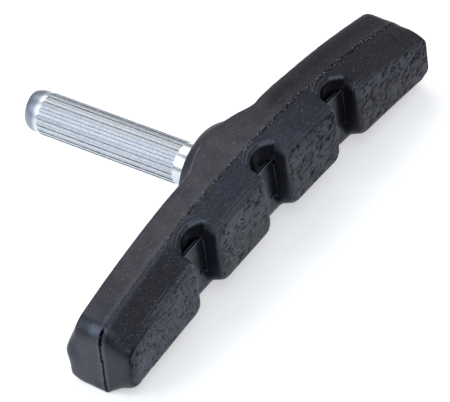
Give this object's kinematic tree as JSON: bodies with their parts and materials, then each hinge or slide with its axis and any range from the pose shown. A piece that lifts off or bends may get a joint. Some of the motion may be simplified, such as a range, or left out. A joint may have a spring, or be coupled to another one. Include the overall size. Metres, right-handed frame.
{
  "type": "bicycle rim brake pad",
  "caption": "Curved moulded rubber rim brake pad with grooved friction blocks, a conical boss and a straight-knurled steel clamp post.",
  "frame": {"origin": "on the post's axis, where the post leaves the rubber boss", "axes": "+X along the pad, +Y along the post away from the rim, +Z outwards from the wheel's centre, the pad's convex side"},
  "size_m": [0.072, 0.04, 0.0154],
  "materials": {
    "rubber": "semi-matte moulded rubber with a pebbled braking face",
    "plated_steel": "bright zinc plate",
    "plate_steel": "dark bonded steel strip"
  },
  "bodies": {
    "root": {"brake_block": "rubber", "post": "plated_steel", "backing_plate": "plate_steel"}
  },
  "joints": []
}
